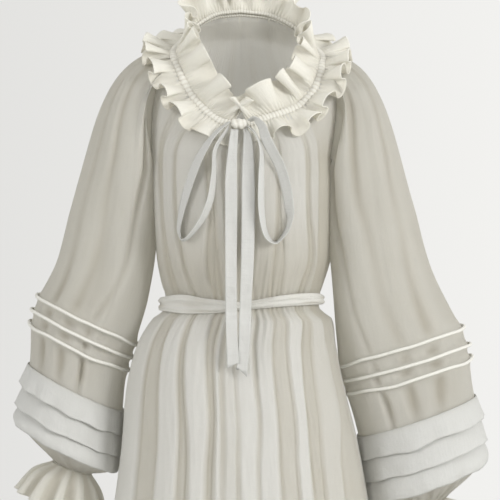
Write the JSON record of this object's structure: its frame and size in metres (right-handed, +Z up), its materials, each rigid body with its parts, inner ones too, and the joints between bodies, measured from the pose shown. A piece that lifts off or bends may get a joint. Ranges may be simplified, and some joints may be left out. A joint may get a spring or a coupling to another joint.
{
  "type": "dress",
  "caption": "Ivory cotton voile maxi dress with a ruffled drawstring neck, raglan bishop sleeves, corded and deep tucks and a narrow sash",
  "frame": {"origin": "midway between the shoulders, at the height where the neck casing rests on them, which is where the wearer holds the dress up", "axes": "+Z up, -Y towards the front of the dress, +X towards the wearer's left"},
  "size_m": [0.7416, 0.4676, 1.4885],
  "materials": {
    "voile": "matt ivory cotton voile, slightly sheer",
    "ruffle": "matt ivory cotton voile, gathered double",
    "tuck": "matt ivory cotton voile, doubled",
    "tape": "matt ivory cotton tape"
  },
  "bodies": {
    "root": {"body_front": "voile", "body_back": "voile", "sleeve_right": "voile", "sleeve_left": "voile", "belt": "voile", "neck_casing": "ruffle", "neck_ruffle_inner": "ruffle", "neck_ruffle_outer": "ruffle", "wrist_frill_right": "ruffle", "wrist_frill_left": "ruffle", "cord_tuck_right_1": "ruffle", "deep_tuck_right_1": "tuck", "cord_tuck_right_2": "ruffle", "deep_tuck_right_2": "tuck", "cord_tuck_right_3": "ruffle", "deep_tuck_right_3": "tuck", "cord_tuck_left_1": "ruffle", "deep_tuck_left_1": "tuck", "cord_tuck_left_2": "ruffle", "deep_tuck_left_2": "tuck", "cord_tuck_left_3": "ruffle", "deep_tuck_left_3": "tuck", "tie_knot": "tape", "tie_loop_right": "tape", "tie_loop_left": "tape", "tie_tail_right": "tape", "tie_tail_left": "tape"}
  },
  "joints": []
}
